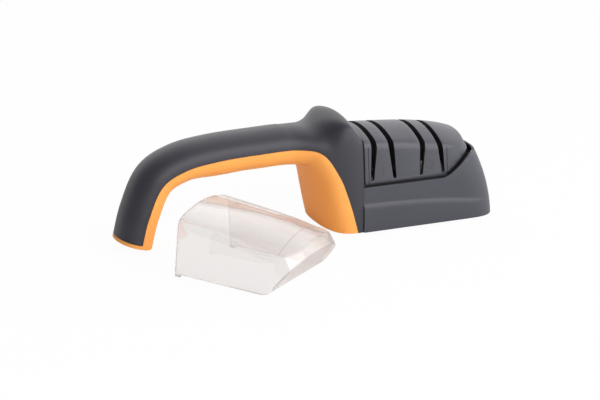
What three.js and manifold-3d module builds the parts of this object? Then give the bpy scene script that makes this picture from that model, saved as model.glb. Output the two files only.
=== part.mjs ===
// Hand-held two-stage knife sharpener: arched handle, slotted head with rolling wheels, clear hood cover.
// Millimetres, +Z up. x is measured from the seam plane where the handle meets the head, toward the nose,
// and z from the table. The whole object is then moved so that the middle of the base pad is the origin.
import * as THREE from 'three';
import { mergeVertices } from 'three/addons/utils/BufferGeometryUtils.js';
import loadManifold from 'manifold-3d';

const manifold = await loadManifold();
manifold.setup();

// Head form
const headLength = 81;          // seam plane to nose at the base
const headHalfWidth = 26.5;
const headHeight = 54;          // crown at the seam plane
const noseHeight = 43.6;        // crown where it runs out at the nose
const noseLean = 21.2;          // lean of the nose, carried up to the full head height
const nosePower = 2;            // how late the lean sets in
const noseRun = 21.5;           // length of the rounded nose, seen from above
const noseFullness = [0.12, 0.6]; // how squarely the plan leaves the sides and meets the nose
const crownFall = [[0.32, 1.5], [0.62, 2.1]]; // along the head's length, how far its crown has fallen
const crownEnd = 0.84;          // share of the head's length at which the crown is down to the nose height
const crownDrop = 0.085;        // share of the height that the crown loses from its middle to its edge
const noseCrownDrop = 0.18;     // the same at the nose
const sideDraft = 3;            // how far each side leans in between the rim and the crown
const cornerPower = 22;         // squareness of the head's cross-section
const floorGap = 1;             // height of the head's lower edge above the table
const bandHeight = 15.5;        // proud band round the foot of the head, at the seam plane
const bandNoseHeight = 9;       // the same band at the nose
const bandBend = 0.55;          // share of the head's length at which the band starts to fall
const bandProud = 0.5;
const housingWall = 2.2;

// Groove that takes the cover, between the housing's rim and the slot module
const rimHeight = 25;
const rimStraight = 44;         // length of the level stretch of the rim
const noseRimStart = 61.5;      // where the rim, climbing the nose, has turned steep
const noseRimHeight = 38.5;
const noseRimSlope = 68;        // degrees, from there to the crown
const rimTurn = [9, 4];         // how gently the rim leaves its level stretch and turns steep
const rimWall = 1.1;
const grooveDepth = 3;
const chinAt = [61.8, 33.4];    // a point of the sloping chin of the cover, in its place on the head
const chinSlope = 52;           // degrees
const chinRun = 4;              // how far the turn from the level foot to the chin takes, each way
const seatGap = 0.35;           // chin to its seat in the housing
const flangeThickness = 1.5;
const flangeEnd = 37;
const flangeGap = 0.2;          // flange to the inside of the rim
const ledgeThickness = 2;

// Clear cover
const coverWall = 1.1;
const coverGap = 0.25;          // cover to housing
const coverCrownGap = 0.25;     // cover below the head form's crown
const moduleGap = 0.3;          // cover to slot module
const moduleNoseGap = 3;        // more room between them at the nose
const coverFootGap = 0.3;       // cover to flange
const coverEndGap = 0.7;        // open end of the cover to the handle
const tabLength = 2.8;
const tabDrop = 1.2;
const lipLength = 9;            // finger lip at the nose of the cover
const lipProud = 0.7;
const coverYaw = -53;           // degrees, as it stands beside the head
const coverStand = [-91, -31.5];

// Slots and wheels
const stageCentres = [12.6, 40.7];
const slotOffset = 4.95;        // slot to stage centre on the crown
const slotSpread = 1.5;         // extra offset at the foot of the slot
const slotTopWidth = 3.2;
const slotFootWidth = 1.8;
const slotFoot = 27.5;
const slotBend = 44;
const guideWall = 1.6;
const guideFoot = 34;
const moduleWall = 2;
const wheelRoom = 0.8;          // module to wheels and axle ends
const wheelRadius = 10;
const wheelFootRadius = 8;      // where the bevel meets the slot plane
const edgeAngle = 20;           // degrees between the bevel and the slot plane
const wheelThickness = [2.4, 4];
const wheelGap = 0.2;           // wheel to slot plane
const axleRadius = 2;
const axleOffset = 7;           // each axle to the middle plane
const axleHeight = 22.5;
const axleClearance = 0.3;
const axleChamfer = 0.3;
const sleeveWall = 1.2;
const sleeveGap = 0.1;          // sleeve to wheel
const bulkheads = [1.6, 25, 53.2];
const bulkheadThickness = 1.6;
const cradleHalfWidth = 12.5;
const cradleFloor = 2;
const cradleLip = 1;            // cradle above the axles
const cradleRoom = 0.8;         // cradle to housing and module

// Handle
const footReach = 116.4;        // seam plane to the end of the handle's seam line
const footLift = 3.2;
const archHeight = 45.6;        // seam line of the handle above the table
const gripHalfWidth = 14;
const gripRise = 10;            // grey shell above the seam line
const footRise = 10.4;
const gripDepth = 10.4;         // orange core below the seam line
const footDepth = 8.6;
const footEase = [-95, -50];    // where the foot's rise and depth pass into the grip's
const fingerSwell = 1;
const fingerSwellAt = -74;
const fingerSwellHalf = 18;
const pillarDepth = 13;
const pillarEase = [-17, -4];   // where the grip's depth passes into the pillar's
const flareStart = -36;
const bumpAt = -6.4;
const bumpRise = 6.9;           // over the top of the handle
const bumpBack = 18;
const bumpFront = 9;
const gripPower = 2.2;
const pillarPower = 2.6;
const handleWall = 2.2;
const endCap = 1.9;
const endCapGap = 0.15;         // end cap to the grey shell
const seamGap = 0.25;
const housingBack = 0.15;       // housing to the seam plane

// Base and fasteners
const plateThickness = 2;
const plateInset = 1.5;         // base plate to the outside of the walls
const plateClearance = 0.3;
const padLength = 62;
const padHalfWidth = 10.5;
const padStart = -8;
const padSink = 0.8;
const padCorner = 6;
const screwRadius = 1.4;
const screwHeadRadius = 2.8;
const screwHeadHeight = 1.5;
const screwLength = 12;
const screwRecess = 0.2;        // screw head inside the base plate
const screwClearance = 0.2;     // screw to base plate
const threadClearance = 0.1;    // screw to boss
const driveReach = 1.6;         // cross in the screw head
const driveHalfWidth = 0.35;
const driveDepth = 0.8;
const bossRadius = 3;
const bossGap = 0.2;            // boss to base plate
const webHalf = 1;
const pegRadius = 1.8;
const pegAt = [14, 39];
const moduleScrews = [[25.6, 17], [25.6, -17]];
const noseScrew = [66, 0];
const handleScrews = [[-4.6, 17], [-4.6, -17]];

const restGap = 0.1;            // between pieces that rest on each other
const pressGap = 0.05;          // between pieces pressed or glued together

const roundSides = 24;
const postSides = 12;
const curveSteps = 6;           // for each curve of an outline
const noseSteps = 7;            // for each half of the rounded nose
const crownSteps = 10;
const farAway = 200;            // larger than the object, for cutting
const toRadians = Math.PI / 180;

// Colours, roughness and metalness
const looks = {
  softGrey: { color: 0x3b3b42, roughness: 0.55, metalness: 0 },
  housingGrey: { color: 0x4a4951, roughness: 0.5, metalness: 0 },
  slotGrey: { color: 0x56555c, roughness: 0.6, metalness: 0 },
  orange: { color: 0xf08a3c, roughness: 0.5, metalness: 0 },
  clear: { color: 0xf2ece8, roughness: 0.1, metalness: 0, transparent: true, opacity: 0.35 },
  black: { color: 0x1c1c1e, roughness: 0.7, metalness: 0 },
  rubber: { color: 0x202022, roughness: 0.9, metalness: 0 },
  steel: { color: 0xb4b6ba, roughness: 0.3, metalness: 1 },
  diamond: { color: 0x4d4f52, roughness: 0.8, metalness: 0.6 },
  ceramic: { color: 0xf4f2ee, roughness: 0.4, metalness: 0 },
};

// Helpers for solids

function solid(geometry) {
  const bare = new THREE.BufferGeometry();
  bare.setAttribute('position', geometry.getAttribute('position'));
  bare.setIndex(geometry.getIndex());
  const merged = mergeVertices(bare, 1e-4);
  return new manifold.Manifold(new manifold.Mesh({
    numProp: 3,
    vertProperties: Float32Array.from(merged.getAttribute('position').array),
    triVerts: Uint32Array.from(merged.getIndex().array),
  }));
}

function toGeometry(body) {
  const mesh = body.getMesh();
  const geometry = new THREE.BufferGeometry();
  geometry.setAttribute('position', new THREE.BufferAttribute(Float32Array.from(mesh.vertProperties), 3));
  geometry.setIndex(new THREE.BufferAttribute(Uint32Array.from(mesh.triVerts), 1));
  geometry.computeVertexNormals();
  return geometry;
}

// Closed skin over rings of equal count, with each end closed by a fan
function loft(rings) {
  const count = rings[0].length;
  const points = rings.flat();
  const faces = [];
  for (let ring = 0; ring < rings.length - 1; ring += 1) {
    for (let i = 0; i < count; i += 1) {
      const a = ring * count + i;
      const b = ring * count + (i + 1) % count;
      faces.push([a, b, b + count], [a, b + count, a + count]);
    }
  }
  const ends = [rings[0], rings[rings.length - 1]];
  ends.forEach((ring, end) => {
    const centre = ring.reduce((sum, p) => sum.add(p), new THREE.Vector3()).divideScalar(count);
    const hub = points.push(centre) - 1;
    const start = end * (rings.length - 1) * count;
    for (let i = 0; i < count; i += 1) {
      const rim = [start + i, start + (i + 1) % count];
      faces.push(end === 0 ? [hub, rim[1], rim[0]] : [hub, rim[0], rim[1]]);
    }
  });
  const volume = faces.reduce((sum, [a, b, c]) =>
    sum + points[a].dot(new THREE.Vector3().crossVectors(points[b], points[c])), 0);
  const turned = volume > 0 ? faces : faces.map(([a, b, c]) => [a, c, b]);
  const geometry = new THREE.BufferGeometry().setFromPoints(points);
  geometry.setIndex(turned.flat());
  return solid(geometry);
}

// A side view outline (x, z) carried across the whole width
function acrossWidth(outline, halfWidth = farAway) {
  const geometry = new THREE.ExtrudeGeometry(outline, {
    depth: 2 * halfWidth,
    bevelEnabled: false,
    curveSegments: curveSteps,
  });
  geometry.translate(0, 0, -halfWidth);
  geometry.rotateX(Math.PI / 2);
  return solid(geometry);
}

// A plan outline (x, y) carried from one height to another
function upright(outline, from, to) {
  const geometry = new THREE.ExtrudeGeometry(outline, {
    depth: to - from,
    bevelEnabled: false,
    curveSegments: curveSteps,
  });
  geometry.translate(0, 0, from);
  return solid(geometry);
}

function block(x0, x1, y0, y1, z0, z1) {
  const geometry = new THREE.BoxGeometry(x1 - x0, y1 - y0, z1 - z0);
  geometry.translate((x0 + x1) / 2, (y0 + y1) / 2, (z0 + z1) / 2);
  return solid(geometry);
}

function post(x, y, radius, from, to) {
  const geometry = new THREE.CylinderGeometry(radius, radius, to - from, postSides);
  geometry.rotateX(Math.PI / 2);
  geometry.translate(x, y, (from + to) / 2);
  return solid(geometry);
}

// A profile of [radius, distance] pairs turned round a line along +x
function turnedAlongX(profile, x, y, z) {
  const geometry = new THREE.LatheGeometry(profile.map((p) => new THREE.Vector2(...p)), roundSides);
  geometry.rotateZ(-Math.PI / 2);
  geometry.translate(x, y, z);
  return geometry;
}

function easeBetween(x, from, to) {
  return THREE.MathUtils.smoothstep(x, from, to);
}

// Half section (offset, height): a superellipse whose crown falls away to its edges
const sectionSteps = [1, 0.995, 0.975, 0.93, 0.85, 0.72, 0.55, 0.3];
function archSection(half, base, rise, crown, power) {
  const height = (u) => rise * (1 - crown * u * u) * (1 - u ** power) ** (1 / power);
  const side = sectionSteps.map((u, i) => [half * u, i === 0 ? base : Math.max(base, height(u))]);
  const left = side.map(([y, h]) => [-y, h]);
  return [...left, [0, rise], ...side.reverse()];
}

// Head form, from which the housing, the slot module and the cover are all made
function noseReach(z) {
  return headLength - noseLean * (z / headHeight) ** nosePower;
}

function headPlan(half, nose, back) {
  const start = nose - noseRun;
  const round = new THREE.CubicBezierCurve(
    new THREE.Vector2(start, -half),
    new THREE.Vector2(nose - noseRun * noseFullness[0], -half),
    new THREE.Vector2(nose, -half * noseFullness[1]),
    new THREE.Vector2(nose, 0),
  );
  const near = [new THREE.Vector2(back, -half), ...round.getPoints(noseSteps)];
  const far = near.slice(0, -1).reverse().map((p) => new THREE.Vector2(p.x, -p.y));
  return [...near, ...far];
}

// Share of the full width left at a height, with the draft of the sides
function draftAt(z) {
  const share = THREE.MathUtils.clamp((z - rimHeight) / (headHeight - rimHeight), 0, 1);
  return 1 - sideDraft * share / headHalfWidth;
}

const roofMargin = 0.02;        // lets the walls, and not the roof, make the sides

// The form drawn in by an inset at its sides, another at its crown and, where it differs, one at its nose
function headForm(inset, crownInset, back, noseInset = inset) {
  const steps = [0, 0.2, 0.4, 0.6, 0.8, 1].map((share) => THREE.MathUtils.lerp(rimHeight, headHeight, share));
  const levels = [-farAway / 50, rimHeight / 3, rimHeight * 2 / 3, ...steps, headHeight + farAway / 50];
  const walls = loft(levels.map((z) =>
    headPlan(headHalfWidth * draftAt(z) - inset, noseReach(Math.max(z, 0)) - noseInset, back)
      .map((p) => new THREE.Vector3(p.x, p.y, z))));
  const crownLine = new THREE.CubicBezierCurve(
    new THREE.Vector2(0, headHeight),
    ...crownFall.map(([along, fall]) => new THREE.Vector2(headLength * along, headHeight - fall)),
    new THREE.Vector2(headLength * crownEnd, noseHeight),
  );
  const run = crownLine.getPoints(crownSteps);
  const tail = run[run.length - 1].clone().multiplyScalar(2).sub(run[run.length - 2]);
  tail.lerp(run[run.length - 1], -6);
  const stations = [new THREE.Vector2(back - 1, headHeight), ...run.slice(back < 0 ? 0 : 1), tail];
  const roof = loft(stations.map((p) => {
    const drop = THREE.MathUtils.lerp(crownDrop, noseCrownDrop, Math.max(0, p.x) / headLength);
    const half = headHalfWidth - inset + roofMargin;
    const section = archSection(half, rimHeight, p.y - crownInset, drop, cornerPower);
    const closed = [[-half, -farAway], ...section, [half, -farAway]];
    return closed.map(([y, h]) => new THREE.Vector3(p.x, y * draftAt(h), h));
  }));
  return walls.intersect(roof);
}

// Everything below the visible rim of the housing, which climbs steeply over the nose
function belowRim() {
  const steep = Math.tan(noseRimSlope * toRadians);
  const outline = new THREE.Shape();
  outline.moveTo(-farAway, -farAway);
  outline.lineTo(-farAway, rimHeight);
  outline.lineTo(rimStraight, rimHeight);
  outline.bezierCurveTo(
    rimStraight + rimTurn[0], rimHeight,
    noseRimStart - rimTurn[1], noseRimHeight - rimTurn[1] * steep,
    noseRimStart, noseRimHeight,
  );
  outline.lineTo(noseRimStart + farAway, noseRimHeight + farAway * steep);
  outline.lineTo(noseRimStart + farAway, -farAway);
  return acrossWidth(outline);
}

// Level and sloping line of the groove, a drop below the rim and a lift off the cover's chin
function grooveLine(drop, lift) {
  const slope = chinSlope * toRadians;
  const level = rimHeight - drop;
  const turn = chinAt[0] - (chinAt[1] + lift / Math.cos(slope) - level) / Math.tan(slope);
  return { slope, level, turn };
}

// Everything below such a line of the groove
function belowGroove(drop, lift) {
  const { slope, level, turn } = grooveLine(drop, lift);
  const climb = (run) => [turn + run * Math.cos(slope), level + run * Math.sin(slope)];
  const outline = new THREE.Shape();
  outline.moveTo(-farAway, -farAway);
  outline.lineTo(-farAway, level);
  outline.lineTo(turn - chinRun, level);
  outline.quadraticCurveTo(turn, level, ...climb(chinRun));
  outline.lineTo(...climb(farAway));
  outline.lineTo(farAway, -farAway);
  return acrossWidth(outline);
}

function belowBand() {
  const outline = new THREE.Shape();
  outline.moveTo(-farAway, -farAway);
  outline.lineTo(-farAway, bandHeight);
  outline.lineTo(0, bandHeight);
  outline.quadraticCurveTo(headLength * bandBend, bandHeight, headLength, bandNoseHeight);
  outline.lineTo(farAway, bandNoseHeight);
  outline.lineTo(farAway, -farAway);
  return acrossWidth(outline);
}

const aboveTable = block(-farAway, farAway, -farAway, farAway, floorGap, farAway);

// Base plate outline: the head's plan with the half-round of the handle's pillar
const pillarAt = -3;
function plateOutline(offset) {
  const half = headHalfWidth - plateInset + offset;
  const head = headPlan(half, headLength - plateInset + offset, pillarAt);
  const outline = new THREE.Shape(head);
  outline.absellipse(pillarAt, 0, pillarDepth - 2 * plateInset + offset, half, Math.PI / 2, Math.PI * 1.5);
  return outline;
}
const plateTop = floorGap + plateThickness;
const platePocket = upright(plateOutline(plateClearance), -farAway, plateTop + restGap);

// Head housing: open box with a rim, a ledge for the slot module and a proud band at its foot

const moduleInset = rimWall + coverGap + coverWall + moduleGap;
const flangeInset = rimWall + flangeGap;
const openingInset = moduleInset + moduleWall + flangeGap;
const flangeTop = grooveDepth;  // depths below the rim
const flangeFoot = flangeTop + flangeThickness;
const ledgeTop = flangeFoot + restGap;
const ledgeFoot = ledgeTop + ledgeThickness;

// Clears the first bulkhead of the wheel cradle, at the back of the housing and of the slot module
const cradleTop = axleHeight + axleRadius + cradleLip;
const cradleNotch = block(-cradleRoom, bulkheads[0] + bulkheadThickness / 2 + cradleRoom,
  -cradleHalfWidth - cradleRoom, cradleHalfWidth + cradleRoom, 0, cradleTop + cradleRoom);

// Room for the wheels and the ends of their axles
const wheelBayHalf = axleOffset + wheelRadius + wheelRoom;
const wheelBay = block(bulkheads[0], bulkheads[2] + bulkheadThickness / 2 + wheelRoom,
  -wheelBayHalf, wheelBayHalf, 0, axleHeight + wheelRadius + wheelRoom);

function headHousing() {
  const band = headForm(-bandProud, 0, housingBack, 0).intersect(belowBand());
  const outer = headForm(0, 0, housingBack).intersect(belowRim()).add(band).intersect(aboveTable);
  const hollow = headForm(housingWall, housingWall, -housingWall)
    .intersect(belowGroove(ledgeFoot, -seatGap - ledgeThickness));
  const groove = headForm(rimWall, -farAway / 10, -housingWall).subtract(belowGroove(ledgeTop, -seatGap));
  const opening = headForm(openingInset, housingWall, housingBack + housingWall);
  const [x, y] = noseScrew;
  const foot = plateTop + bossGap;
  const top = plateTop + screwLength;
  const boss = post(x, y, bossRadius, foot, top + housingWall)
    .add(block(x, noseReach(top) - housingWall / 2, y - webHalf, y + webHalf, foot, top))
    .subtract(post(x, y, screwRadius + threadClearance, 0, top));
  return outer.subtract(hollow).subtract(groove).subtract(opening).subtract(cradleNotch)
    .subtract(platePocket).add(boss);
}

// Slot module: crowned shell on a flange, cut by four slots with guide walls

const slots = stageCentres.flatMap((centre) => [-1, 1].map((side) => ({
  top: centre + side * slotOffset,
  foot: centre + side * (slotOffset + slotSpread),
})));

function slotAt(slot, z) {
  const share = THREE.MathUtils.clamp((z - slotFoot) / (slotBend - slotFoot), 0, 1);
  return {
    x: THREE.MathUtils.lerp(slot.foot, slot.top, share),
    width: THREE.MathUtils.lerp(slotFootWidth, slotTopWidth, share),
  };
}

function slotBody(slot, from, margin) {
  const outline = new THREE.Shape();
  const levels = [from, slotBend, farAway];
  const corner = (z, side) => {
    const at = slotAt(slot, z);
    return new THREE.Vector2(at.x + side * (at.width / 2 + margin), z);
  };
  outline.setFromPoints([...levels.map((z) => corner(z, -1)), ...levels.reverse().map((z) => corner(z, 1))]);
  return acrossWidth(outline);
}

const moduleBack = coverEndGap;
const moduleCrown = coverCrownGap + coverWall + moduleGap;

function slotModule() {
  const toeLift = coverWall + moduleGap;
  const nose = moduleInset + moduleNoseGap;
  const outer = headForm(moduleInset, moduleCrown, moduleBack, nose)
    .subtract(belowGroove(flangeFoot, toeLift));
  const inside = [moduleInset, moduleCrown, moduleBack, nose].map((inset) => inset + moduleWall);
  let hollow = headForm(...inside).subtract(belowGroove(ledgeFoot, toeLift + moduleWall));
  const flange = headForm(flangeInset, moduleCrown, moduleBack).intersect(
    block(0, flangeEnd, -farAway, farAway, rimHeight - flangeFoot, rimHeight - flangeTop));
  const guides = slots.map((slot) => slotBody(slot, guideFoot, guideWall));
  guides.forEach((guide) => {
    hollow = hollow.subtract(guide);
  });
  let body = outer.add(flange).subtract(hollow).subtract(wheelBay);
  moduleScrews.forEach(([x, y]) => {
    const top = rimHeight + bossRadius * 2;
    const wall = Math.sign(y) * (headHalfWidth - moduleInset - moduleWall / 2);
    const web = [y, wall].sort((a, b) => a - b);
    body = body.add(post(x, y, bossRadius, plateTop + bossGap, top))
      .add(block(x - webHalf, x + webHalf, ...web, rimHeight - flangeFoot + bossGap, top))
      .subtract(post(x, y, screwRadius + threadClearance, 0, plateTop + screwLength));
  });
  slots.forEach((slot) => {
    body = body.subtract(slotBody(slot, slotFoot, 0));
  });
  const tabNotch = block(0, moduleBack + tabLength + flangeGap, -farAway, farAway,
    rimHeight - ledgeFoot, rimHeight - flangeTop + restGap);
  const tabZone = tabNotch.subtract(block(-1, farAway, -noTab, noTab, -farAway, farAway));
  return body.subtract(tabZone).subtract(cradleNotch);
}

// Clear cover: the head form's own shape above the groove, with clip tabs and a finger lip

const coverInset = rimWall + coverGap;
const lipEnd = noseRimStart + rimTurn[1];
const coverFoot = flangeTop - coverFootGap;
const noTab = headHalfWidth - moduleInset + moduleGap / 2;

function clearCover() {
  const hollow = headForm(coverInset + coverWall, coverCrownGap + coverWall, -coverWall);
  const lipZone = block(lipEnd - lipLength, farAway, -farAway, farAway, 0, farAway);
  const lip = headForm(coverInset - lipProud / 2, coverCrownGap - lipProud, coverEndGap).intersect(lipZone);
  const shell = headForm(coverInset, coverCrownGap, coverEndGap).add(lip).subtract(hollow)
    .subtract(belowGroove(coverFoot, 0));
  const chinZone = block(grooveLine(coverFoot, 0).turn + chinRun / 2, farAway, -farAway, farAway, 0, farAway);
  const chin = headForm(coverInset, coverCrownGap, coverEndGap).intersect(chinZone)
    .intersect(belowGroove(coverFoot, coverWall)).subtract(belowGroove(coverFoot, 0));
  const outerHalf = headHalfWidth - coverInset;
  const tabs = [-1, 1].map((side) => {
    const span = [side * outerHalf, side * (outerHalf - coverWall)].sort((a, b) => a - b);
    return block(coverEndGap, coverEndGap + tabLength, ...span, rimHeight - coverFoot - tabDrop,
      rimHeight - coverFoot + tabDrop);
  });
  return shell.add(chin).add(tabs[0]).add(tabs[1]);
}

// Handle: a grey shell above and an orange core below one seam line, both hollow

const seamLine = new THREE.CatmullRomCurve3([
  [-footReach, footLift],
  [-footReach + 4.3, footLift + 15.4],
  [-footReach + 12.5, archHeight - 10.6],
  [-footReach + 24.5, archHeight - 4.2],
  [-footReach + 41, archHeight - 1.3],
  [-50, archHeight],
  [-31, archHeight],
  [-20.5, archHeight - 2],
  [-12.6, archHeight * 0.7],
  [-8.2, archHeight * 0.44],
  [-3.8, archHeight * 0.09],
  [0, -12],
].map(([x, z]) => new THREE.Vector3(x, 0, z)), false, 'centripetal');
const seamLength = seamLine.getLength();

function seamShareAt(x) {
  let low = 0;
  let high = 1;
  for (let i = 0; i < 40; i += 1) {
    const middle = (low + high) / 2;
    if (seamLine.getPointAt(middle).x < x) low = middle;
    else high = middle;
  }
  return low;
}

function handleHalfWidth(x) {
  return THREE.MathUtils.lerp(gripHalfWidth, headHalfWidth, easeBetween(x, flareStart, -2));
}

function topLine(x) {
  const side = x < bumpAt ? bumpBack : bumpFront;
  const reach = Math.min(1, Math.abs(x - bumpAt) / side);
  const level = THREE.MathUtils.lerp(archHeight + gripRise, headHeight, easeBetween(x, flareStart, 0));
  return level + bumpRise * Math.cos(reach * Math.PI / 2) ** 2;
}

// Ring of the grey shell at a share of the seam line, drawn in by a wall thickness
function shellRing(share, inset, base) {
  const p = seamLine.getPointAt(share);
  const tangent = seamLine.getTangentAt(share);
  const flare = easeBetween(p.x, flareStart, 0);
  const inFlare = p.x > flareStart;
  const out = inFlare ? new THREE.Vector3(0, 0, 1) : new THREE.Vector3(-tangent.z, 0, tangent.x);
  const foot = inFlare ? Math.max(p.z, 0) : 0;
  const rise = inFlare ? topLine(p.x) - foot
    : THREE.MathUtils.lerp(footRise, gripRise, easeBetween(p.x, ...footEase));
  const power = THREE.MathUtils.lerp(gripPower, cornerPower, flare ** 6);
  const half = handleHalfWidth(p.x) - inset;
  const lift = inFlare ? foot - p.z : 0;
  const section = archSection(half, base - lift, rise - inset, crownDrop * flare, power);
  const knee = Math.max(base - lift + pressGap, inFlare ? rimHeight - foot : 0);
  section.splice(1, 0, [-half, knee]);
  section.splice(-1, 0, [half, knee]);
  return section.map(([y, h]) => {
    const leaning = THREE.MathUtils.lerp(1, draftAt(p.z + h + lift), flare ** 2);
    return new THREE.Vector3(p.x, y * leaning, p.z).addScaledVector(out, h + lift);
  });
}

function coreRing(share, inset, base) {
  const p = seamLine.getPointAt(share);
  const tangent = seamLine.getTangentAt(share);
  const inward = new THREE.Vector3(tangent.z, 0, -tangent.x);
  const pillar = easeBetween(p.x, ...pillarEase);
  const swell = Math.min(1, Math.abs(p.x - fingerSwellAt) / fingerSwellHalf);
  const grip = THREE.MathUtils.lerp(footDepth, gripDepth, easeBetween(p.x, ...footEase));
  const depth = THREE.MathUtils.lerp(grip, pillarDepth, pillar)
    + fingerSwell * Math.cos(swell * Math.PI / 2) ** 2;
  const power = THREE.MathUtils.lerp(gripPower, pillarPower, pillar);
  return archSection(handleHalfWidth(p.x) - inset, base, depth - inset, 0, power).map(([y, h]) =>
    new THREE.Vector3(p.x, y, p.z).addScaledVector(inward, h));
}

function shares(from, to, count) {
  return Array.from({ length: count + 1 }, (_, i) => THREE.MathUtils.lerp(from, to, i / count));
}

const handleStations = 28;
const hollowStations = 14;

function handleShell() {
  const start = (endCap + endCapGap) / seamLength;
  const outer = loft(shares(start, 1, handleStations).map((share) => shellRing(share, 0, seamGap)));
  const inner = loft(shares(start + handleWall / seamLength, seamShareAt(-handleWall), hollowStations)
    .map((share) => shellRing(share, handleWall, -handleWall)));
  let body = outer.subtract(inner).intersect(aboveTable);
  handleScrews.forEach(([x, y]) => {
    body = body.add(post(x, y, bossRadius, plateTop + bossGap, rimHeight));
    body = body.subtract(post(x, y, screwRadius + threadClearance, 0, plateTop + screwLength));
  });
  return body.subtract(platePocket);
}

function handleCore() {
  const outer = loft(shares(0, 1, handleStations).map((share) => coreRing(share, 0, 0)));
  const inner = loft(shares((endCap + handleWall) / seamLength, 1, hollowStations)
    .map((share) => coreRing(share, handleWall, -handleWall)));
  const capRing = (share) => {
    const upper = shellRing(share, 0, 0);
    const lower = coreRing(share, 0, 0).slice(1, -1).reverse();
    return [...upper, ...lower];
  };
  const cap = loft([0, endCap / seamLength].map(capRing));
  return outer.subtract(inner).add(cap).intersect(aboveTable).subtract(platePocket);
}

// Base plate with its screws, cradle pegs and rubber pad

const screwPlaces = [...moduleScrews, ...handleScrews, noseScrew];

function padOutline(offset) {
  const half = padHalfWidth + offset;
  const corner = padCorner + offset;
  const x0 = padStart - offset;
  const x1 = padStart + padLength + offset;
  const outline = new THREE.Shape();
  outline.moveTo(x0 + corner, -half);
  outline.lineTo(x1 - corner, -half);
  outline.absarc(x1 - corner, -half + corner, corner, -Math.PI / 2, 0);
  outline.absarc(x1 - corner, half - corner, corner, 0, Math.PI / 2);
  outline.absarc(x0 + corner, half - corner, corner, Math.PI / 2, Math.PI);
  outline.absarc(x0 + corner, -half + corner, corner, Math.PI, Math.PI * 1.5);
  return outline;
}

function basePlate() {
  let body = upright(plateOutline(0), floorGap, plateTop);
  body = body.subtract(upright(padOutline(plateClearance), 0, floorGap + padSink));
  screwPlaces.forEach(([x, y]) => {
    const head = post(x, y, screwHeadRadius + screwClearance, 0, floorGap + screwHeadHeight);
    body = body.subtract(post(x, y, screwRadius + screwClearance, 0, farAway)).subtract(head);
  });
  pegAt.forEach((x) => {
    body = body.add(post(x, 0, pegRadius, plateTop - plateThickness / 2, plateTop + cradleFloor));
  });
  return body;
}

function screw(x, y) {
  const top = floorGap + screwHeadHeight - pressGap;
  const foot = floorGap + screwRecess;
  const head = post(x, y, screwHeadRadius, foot, top);
  const drive = [[driveReach, driveHalfWidth], [driveHalfWidth, driveReach]].map(([alongX, alongY]) =>
    block(x - alongX, x + alongX, y - alongY, y + alongY, 0, foot + driveDepth));
  const shank = post(x, y, screwRadius, top - screwRecess, screwLength);
  return head.subtract(drive[0]).subtract(drive[1]).add(shank);
}

// Wheels on two axles in a cradle

const contactHeight = axleHeight + wheelFootRadius;
const bevel = (wheelRadius - wheelFootRadius) * Math.tan(edgeAngle * toRadians);

function wheelCradle() {
  const x0 = bulkheads[0] - bulkheadThickness / 2;
  const x1 = bulkheads[bulkheads.length - 1] + bulkheadThickness / 2;
  const floor = plateTop + restGap;
  let body = block(x0, x1, -cradleHalfWidth, cradleHalfWidth, floor, floor + cradleFloor);
  bulkheads.forEach((x) => {
    body = body.add(block(x - bulkheadThickness / 2, x + bulkheadThickness / 2, -cradleHalfWidth,
      cradleHalfWidth, floor, cradleTop));
  });
  [-1, 1].forEach((side) => {
    const notch = new THREE.Shape();
    const radius = axleRadius + axleClearance;
    notch.absarc(side * axleOffset, axleHeight, radius, Math.PI, Math.PI * 2);
    notch.lineTo(side * axleOffset + radius, farAway);
    notch.lineTo(side * axleOffset - radius, farAway);
    const geometry = new THREE.ExtrudeGeometry(notch, {
      depth: farAway,
      bevelEnabled: false,
      curveSegments: curveSteps,
    });
    geometry.rotateX(Math.PI / 2);
    geometry.rotateZ(Math.PI / 2);
    geometry.translate(-farAway / 2, 0, 0);
    body = body.subtract(solid(geometry));
  });
  pegAt.forEach((x) => {
    body = body.subtract(post(x, 0, pegRadius + plateClearance, 0, floor + cradleFloor + cradleRoom));
  });
  return body;
}

// side -1 is the front axle, whose wheels stand past the slot plane; side 1 is the rear axle
function wheelSpan(index, side) {
  const plane = slotAt(slots[index], contactHeight).x;
  const thickness = wheelThickness[Math.floor(index / 2)];
  const start = plane - side * wheelGap;
  return { start, end: start - side * thickness, thickness };
}

function wheel(index, side) {
  const { start, thickness } = wheelSpan(index, side);
  const bore = axleRadius + pressGap;
  const profile = [[bore, 0], [wheelFootRadius, 0], [wheelRadius, bevel], [wheelRadius, thickness],
    [bore, thickness], [bore, 0]];
  const placed = profile.map(([radius, along]) => [radius, -side * along]);
  const ordered = side < 0 ? placed : placed.reverse();
  return turnedAlongX(ordered, start, side * axleOffset, axleHeight);
}

function sleeve(stage, side) {
  const spans = [2 * stage, 2 * stage + 1].map((index) => wheelSpan(index, side));
  const edges = spans.flatMap((span) => [span.start, span.end]).sort((a, b) => a - b);
  const bore = axleRadius + pressGap;
  const outside = bore + sleeveWall;
  const length = edges[2] - edges[1] - 2 * sleeveGap;
  const profile = [[bore, 0], [outside, 0], [outside, length], [bore, length], [bore, 0]];
  return turnedAlongX(profile, edges[1] + sleeveGap, side * axleOffset, axleHeight);
}

function axle(side) {
  const x0 = bulkheads[0] - bulkheadThickness / 2;
  const length = bulkheads[bulkheads.length - 1] + bulkheadThickness / 2 - x0;
  const end = axleRadius - axleChamfer;
  const profile = [[0, 0], [end, 0], [axleRadius, axleChamfer], [axleRadius, length - axleChamfer],
    [end, length], [0, length]];
  return turnedAlongX(profile, x0, side * axleOffset, axleHeight);
}

// Scene graph

const sharpener = new THREE.Group();
sharpener.position.x = -(padStart + padLength / 2);

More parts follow.
